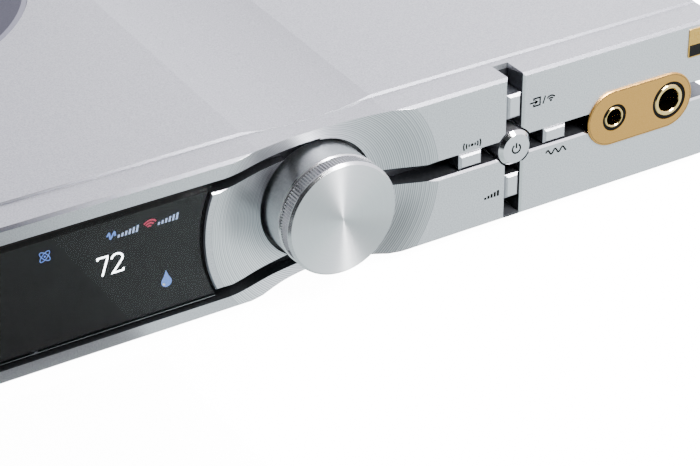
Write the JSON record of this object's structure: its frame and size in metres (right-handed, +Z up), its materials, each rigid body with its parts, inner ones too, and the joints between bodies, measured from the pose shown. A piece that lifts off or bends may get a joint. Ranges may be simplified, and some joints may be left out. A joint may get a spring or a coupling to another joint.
{
  "type": "headphone amplifier",
  "caption": "Desktop headphone amplifier: flat silver case, volume knob in a turned dish, bar display, cross of small buttons, headphone jacks in an oval plate, line sockets and antenna behind.",
  "frame": {"origin": "on the table, under the middle of the bounding box", "axes": "+X to the right seen from the front, +Y from the front face to the back, +Z up"},
  "size_m": [0.266, 0.2446, 0.1275],
  "materials": {
    "case_silver": "bead-blasted, clear anodised",
    "turned_silver": "turned, clear anodised",
    "liner_black": "satin black powder coat",
    "disc_grey": "satin grey anodised",
    "cover_glass": "polished toughened glass",
    "display_black": "display face",
    "gold": "satin gold plated",
    "jack_black": "moulded black",
    "button_silver": "satin anodised with cut edges",
    "brass": "machined",
    "steel": "zinc plated",
    "screw_black": "black oxide",
    "foot_rubber": "moulded rubber",
    "board_green": "solder-masked board",
    "component_black": "moulded",
    "heatsink_black": "black anodised extrusion",
    "capacitor_sleeve": "shrink sleeve",
    "nickel": "nickel plated",
    "flex_amber": "polyimide flex",
    "badge_gold": "plain two-tone plate"
  },
  "bodies": {
    "chassis": {"antenna_socket": "gold", "badge": "badge_gold", "base_tray": "liner_black", "board_screws": "steel", "button_board": "board_green", "capacitors": "capacitor_sleeve", "chips_and_relays": "component_black", "cover_screws": "screw_black", "digital_sockets": "nickel", "dish_centre": "turned_silver", "display_glass": "cover_glass", "display_module": "display_black", "display_ribbon": "flex_amber", "encoder_body": "component_black", "encoder_bushing": "brass", "encoder_nut": "nickel", "foot_cups": "case_silver", "foot_pads": "foot_rubber", "front_liner": "liner_black", "front_panel_bottom": "case_silver", "front_panel_bottom_right": "case_silver", "front_panel_top": "case_silver", "front_panel_top_right": "case_silver", "headphone_board": "board_green", "heatsink": "heatsink_black", "jack_44_body": "jack_black", "jack_44_collar": "gold", "jack_44_ring": "jack_black", "jack_635_body": "jack_black", "jack_635_collar": "gold", "jack_635_ring": "jack_black", "jack_plate": "gold", "main_board": "board_green", "mains_inlet": "component_black", "panel_screws": "steel", "power_module": "nickel", "rca_sockets": "gold", "rear_panel": "liner_black", "rear_screws": "screw_black", "rocker_frame": "component_black", "side_rails": "steel", "standoffs": "brass", "tact_switches": "component_black", "top_cover": "case_silver", "top_disc": "disc_grey", "tray_screws": "screw_black", "xlr_sockets": "nickel"},
    "encoder_plunger": {"encoder_plunger": "component_black"},
    "knob": {"knob": "turned_silver", "knob_insert": "brass", "encoder_shaft": "steel"},
    "power_rocker": {"power_rocker": "component_black"},
    "antenna_swivel": {"antenna_swivel": "component_black", "antenna_pin": "steel"},
    "antenna_rod": {"antenna_rod": "component_black"},
    "button_left": {"button_left": "button_silver"},
    "button_right": {"button_right": "button_silver"},
    "button_up": {"button_up": "button_silver"},
    "button_down": {"button_down": "button_silver"},
    "power_button": {"power_button": "button_silver"}
  },
  "joints": [
    {"name": "knob_push", "type": "slide", "parent": "chassis", "child": "encoder_plunger", "axis": [0, 1, 0], "range_m": [0, 0.0005], "stiffness_N_per_m": 3000},
    {"name": "knob_turn", "type": "hinge", "parent": "encoder_plunger", "child": "knob", "pos_m": [0.016, -0.11528, 0.0226], "axis": [0, 1, 0], "continuous": true},
    {"name": "button_left_press", "type": "slide", "parent": "chassis", "child": "button_left", "axis": [0, 1, 0], "range_m": [0, 0.0004], "stiffness_N_per_m": 1500},
    {"name": "button_right_press", "type": "slide", "parent": "chassis", "child": "button_right", "axis": [0, 1, 0], "range_m": [0, 0.0004], "stiffness_N_per_m": 1500},
    {"name": "button_up_press", "type": "slide", "parent": "chassis", "child": "button_up", "axis": [0, 1, 0], "range_m": [0, 0.0004], "stiffness_N_per_m": 1500},
    {"name": "button_down_press", "type": "slide", "parent": "chassis", "child": "button_down", "axis": [0, 1, 0], "range_m": [0, 0.0004], "stiffness_N_per_m": 1500},
    {"name": "power_button_press", "type": "slide", "parent": "chassis", "child": "power_button", "axis": [0, 1, 0], "range_m": [0, 0.0004], "stiffness_N_per_m": 1500},
    {"name": "power_rocker_tilt", "type": "hinge", "parent": "chassis", "child": "power_rocker", "pos_m": [0.054, 0.09663, 0.023], "axis": [1, 0, 0], "range_deg": [-8, 8]},
    {"name": "antenna_swivel_turn", "type": "hinge", "parent": "chassis", "child": "antenna_swivel", "pos_m": [0.032, 0.10562, 0.029], "axis": [0, 1, 0], "range_deg": [-90, 90]},
    {"name": "antenna_tilt", "type": "hinge", "parent": "antenna_swivel", "child": "antenna_rod", "pos_m": [0.032, 0.11772, 0.029], "axis": [1, 0, 0], "range_deg": [-90, 0]}
  ]
}
